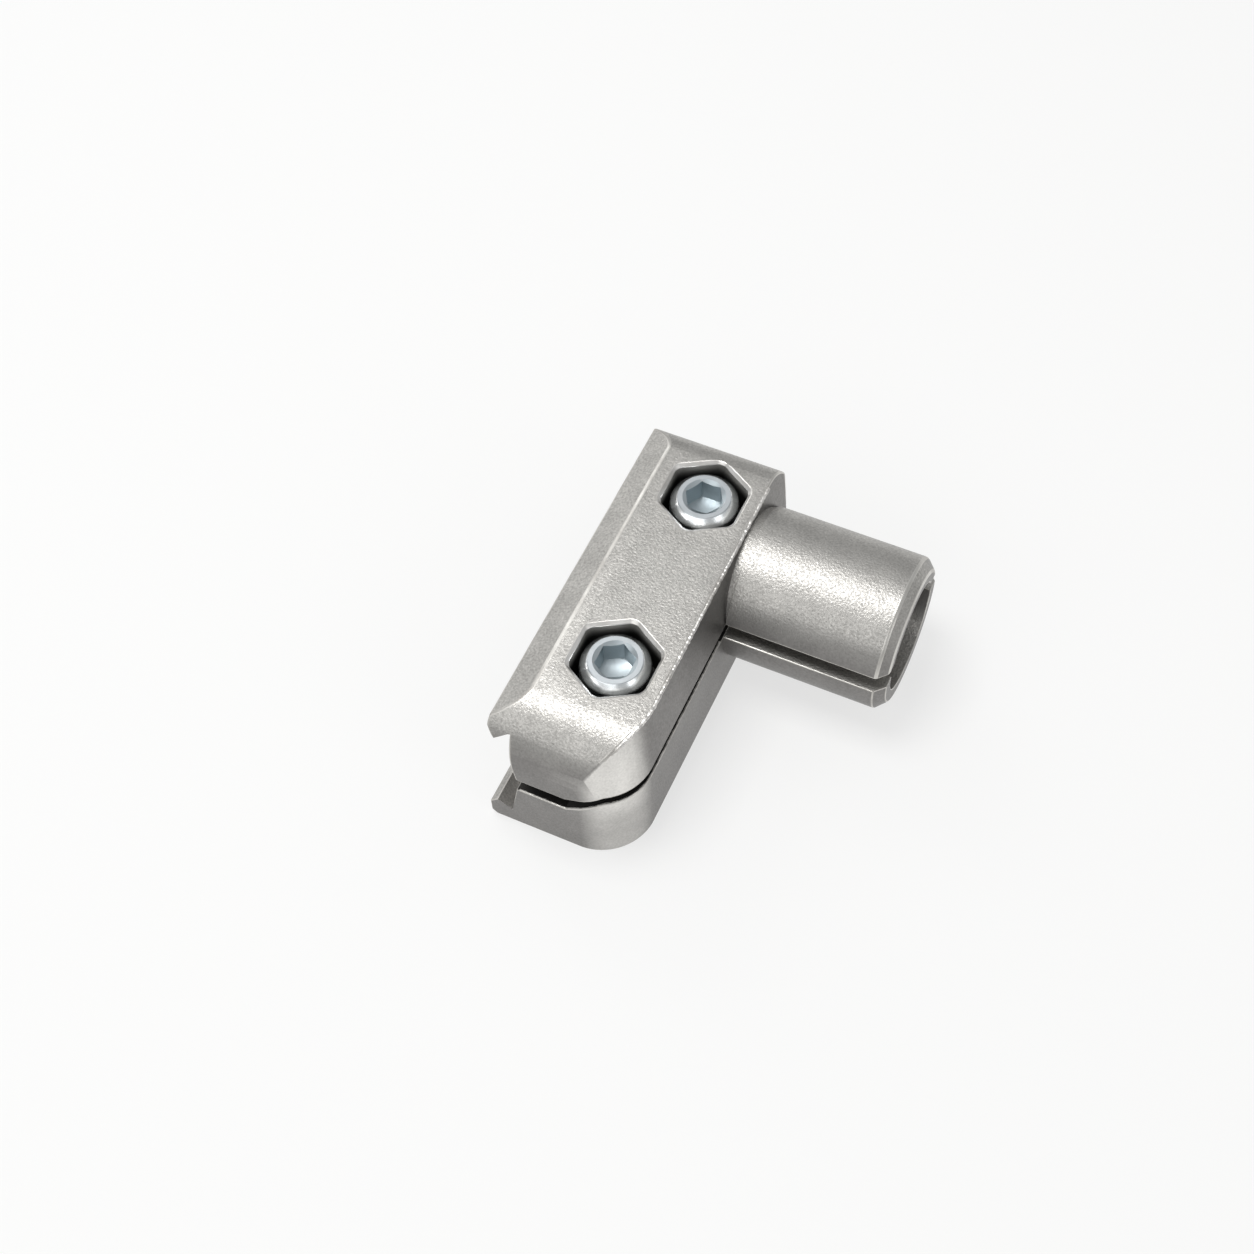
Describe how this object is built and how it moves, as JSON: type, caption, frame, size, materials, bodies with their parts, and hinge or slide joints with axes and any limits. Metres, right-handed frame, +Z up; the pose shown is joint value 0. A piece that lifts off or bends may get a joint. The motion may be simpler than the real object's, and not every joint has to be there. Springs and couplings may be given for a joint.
{
  "type": "inner profile connector",
  "caption": "Split die-cast connector whose two clawed jaws clamp a rail while its split round spigot fills the end of a tube, drawn together by socket head screws and captive nuts.",
  "frame": {"origin": "where the spigot's axis crosses the seat face", "axes": "+X out along the spigot, +Y along the rail towards the end beside the spigot, +Z up, out of the screw heads"},
  "size_m": [0.0456, 0.0578, 0.024],
  "materials": {
    "casting": "blasted die-cast, satin",
    "zinc_plated_screw": "bright zinc plated",
    "zinc_plated_nut": "zinc plated"
  },
  "bodies": {
    "lower": {"lower_jaw": "casting"},
    "upper": {"upper_jaw": "casting"},
    "far_screw": {"far_screw": "zinc_plated_screw"},
    "near_screw": {"near_screw": "zinc_plated_screw"},
    "far_nut": {"far_nut": "zinc_plated_nut"},
    "near_nut": {"near_nut": "zinc_plated_nut"}
  },
  "joints": [
    {"name": "far_screw_turn", "type": "hinge", "parent": "upper", "child": "far_screw", "pos_m": [-0.0093, 0.003, 0.0056], "axis": [0, 0, 1], "range_deg": [0, 270]},
    {"name": "near_screw_turn", "type": "hinge", "parent": "upper", "child": "near_screw", "pos_m": [-0.0093, -0.027, 0.0056], "axis": [0, 0, 1], "range_deg": [0, 270]},
    {"name": "far_nut_travel", "type": "slide", "parent": "upper", "child": "far_nut", "axis": [0, 0, -1], "range_m": [0, 0.00075]},
    {"name": "near_nut_travel", "type": "slide", "parent": "upper", "child": "near_nut", "axis": [0, 0, -1], "range_m": [0, 0.00075]},
    {"name": "jaw_open", "type": "hinge", "parent": "lower", "child": "upper", "pos_m": [-0.0024, 0, 0.00128], "axis": [0, 1, 0], "range_deg": [0, 2.4]}
  ],
  "couplings": [
    {"joint": "near_screw_turn", "follows": "far_screw_turn", "ratio": 1},
    {"joint": "far_nut_travel", "follows": "far_screw_turn", "m_per_rad": 0.00015915},
    {"joint": "near_nut_travel", "follows": "far_screw_turn", "m_per_rad": 0.00015915},
    {"joint": "jaw_open", "follows": "far_screw_turn", "ratio": 0.0088889}
  ]
}
